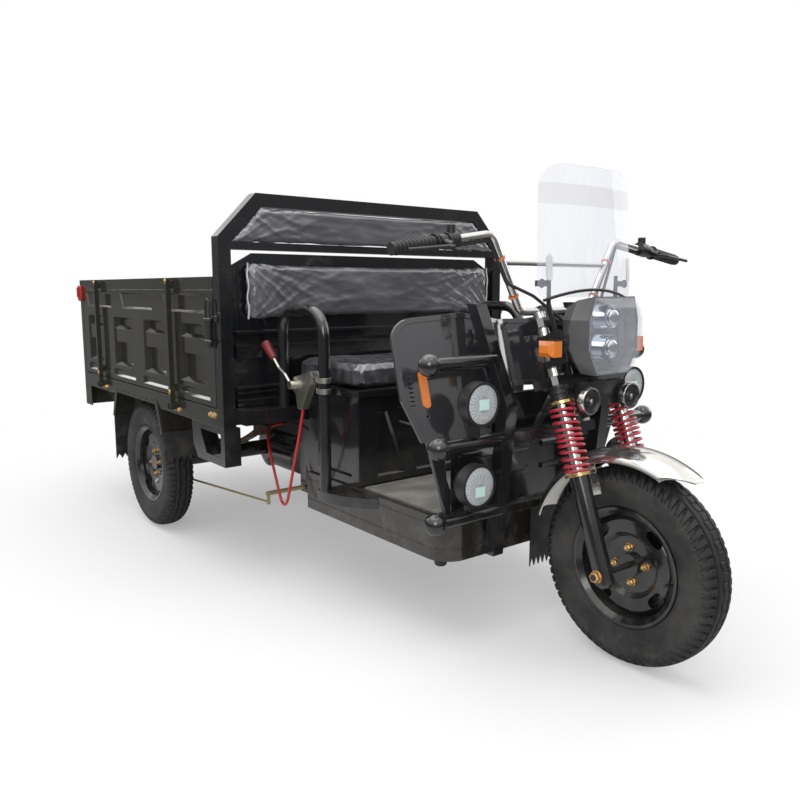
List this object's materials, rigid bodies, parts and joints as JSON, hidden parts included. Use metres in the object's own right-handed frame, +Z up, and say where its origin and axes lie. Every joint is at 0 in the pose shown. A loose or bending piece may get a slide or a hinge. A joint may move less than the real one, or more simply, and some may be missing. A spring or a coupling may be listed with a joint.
{
  "type": "electric cargo tricycle",
  "caption": "Three-wheeled electric cargo tricycle: ribbed drop-side bed with headboard, bench seat, low floor, leg shield, crash bars, sprung fork, windscreen and high handlebar.",
  "frame": {"origin": "centre of the footprint's bounding box, on the ground", "axes": "+X forward, +Y to the rider's left, +Z up; the steering axis leans back from +Z by the fork's rake"},
  "size_m": [3.044, 1.36, 1.351],
  "materials": {
    "amber": "translucent amber",
    "bed_paint": "glossy olive-black paint",
    "black_paint": "glossy black paint",
    "black_plastic": "satin",
    "blue_case": "plain case",
    "chrome": "polished",
    "clear": "clear",
    "gold_zinc": "yellow zinc plated",
    "grey_plastic": "glossy dark grey",
    "lamp_chrome": "polished",
    "maroon": "satin maroon",
    "mat": "speckled grey",
    "red_cable": "smooth red sheath",
    "red_plastic": "translucent red",
    "red_spring": "glossy red paint",
    "rubber": "matte",
    "tan_rod": "yellow zinc",
    "tyre": "matte",
    "vinyl": "dark grey vinyl",
    "zinc": "zinc plated"
  },
  "bodies": {
    "chassis": {"armrest_hoops": "black_paint", "back_cushion": "vinyl", "battery_pack": "blue_case", "bed_floor": "bed_paint", "bed_frame": "bed_paint", "brake_cable": "red_cable", "brake_linkage": "tan_rod", "bumper": "black_paint", "chassis_frame": "black_paint", "drive_motor": "black_paint", "floor_mat": "mat", "front_wall": "black_paint", "handbrake": "zinc", "handbrake_grip": "maroon", "headboard": "black_paint", "headboard_frame": "black_paint", "headrest_cushion": "vinyl", "leaf_springs": "black_paint", "leg_shield": "grey_plastic", "mud_flaps": "rubber", "mudguards": "bed_paint", "platform": "black_paint", "rear_axle": "black_paint", "reflectors": "amber", "seat_box": "black_paint", "seat_cushion": "vinyl", "seat_pan": "black_paint", "spot_lamps": "black_plastic", "spot_lenses": "clear", "steering_neck": "black_paint", "step_brackets": "black_paint", "tail_lamps": "red_plastic"},
    "steering": {"steering_stem": "black_paint", "fork_tubes": "chrome", "fork_springs": "red_spring", "fork_legs": "black_paint", "front_axle": "gold_zinc", "front_fender": "chrome", "front_flap": "rubber", "handlebar": "chrome", "bar_grips": "rubber", "bar_controls": "black_plastic", "bar_cables": "rubber", "headlight_shell": "grey_plastic", "headlight_lens": "clear", "headlight_lamps": "lamp_chrome", "headlight_ears": "black_paint", "indicator_lenses": "amber", "horns": "black_plastic", "windscreen": "clear"},
    "front_wheel": {"front_tyre": "tyre", "front_rim": "black_paint"},
    "rear_left_wheel": {"rear_left_tyre": "tyre", "rear_left_rim": "black_paint"},
    "rear_right_wheel": {"rear_right_tyre": "tyre", "rear_right_rim": "black_paint"},
    "left_gate": {"side_gate_left": "bed_paint"},
    "right_gate": {"side_gate_right": "bed_paint"},
    "rear_gate": {"tailgate": "bed_paint"}
  },
  "joints": [
    {"name": "steering_turn", "type": "hinge", "parent": "chassis", "child": "steering", "pos_m": [1.20941, 0, 0.26132], "axis": [-0.342, 0, 0.9397], "range_deg": [-35, 35]},
    {"name": "front_wheel_spin", "type": "hinge", "parent": "steering", "child": "front_wheel", "pos_m": [1.247, 0, 0.275], "axis": [0, 1, 0], "continuous": true},
    {"name": "rear_left_wheel_spin", "type": "hinge", "parent": "chassis", "child": "rear_left_wheel", "pos_m": [-0.778, 0.563, 0.275], "axis": [0, 1, 0], "continuous": true},
    {"name": "rear_right_wheel_spin", "type": "hinge", "parent": "chassis", "child": "rear_right_wheel", "pos_m": [-0.778, -0.563, 0.275], "axis": [0, 1, 0], "continuous": true},
    {"name": "left_gate_drop", "type": "hinge", "parent": "chassis", "child": "left_gate", "pos_m": [-0.778, 0.668, 0.586], "axis": [-1, 0, 0], "range_deg": [0, 170]},
    {"name": "right_gate_drop", "type": "hinge", "parent": "chassis", "child": "right_gate", "pos_m": [-0.778, -0.668, 0.586], "axis": [1, 0, 0], "range_deg": [0, 170]},
    {"name": "rear_gate_drop", "type": "hinge", "parent": "chassis", "child": "rear_gate", "pos_m": [-1.514, 0, 0.618], "axis": [0, -1, 0], "range_deg": [0, 170]}
  ]
}
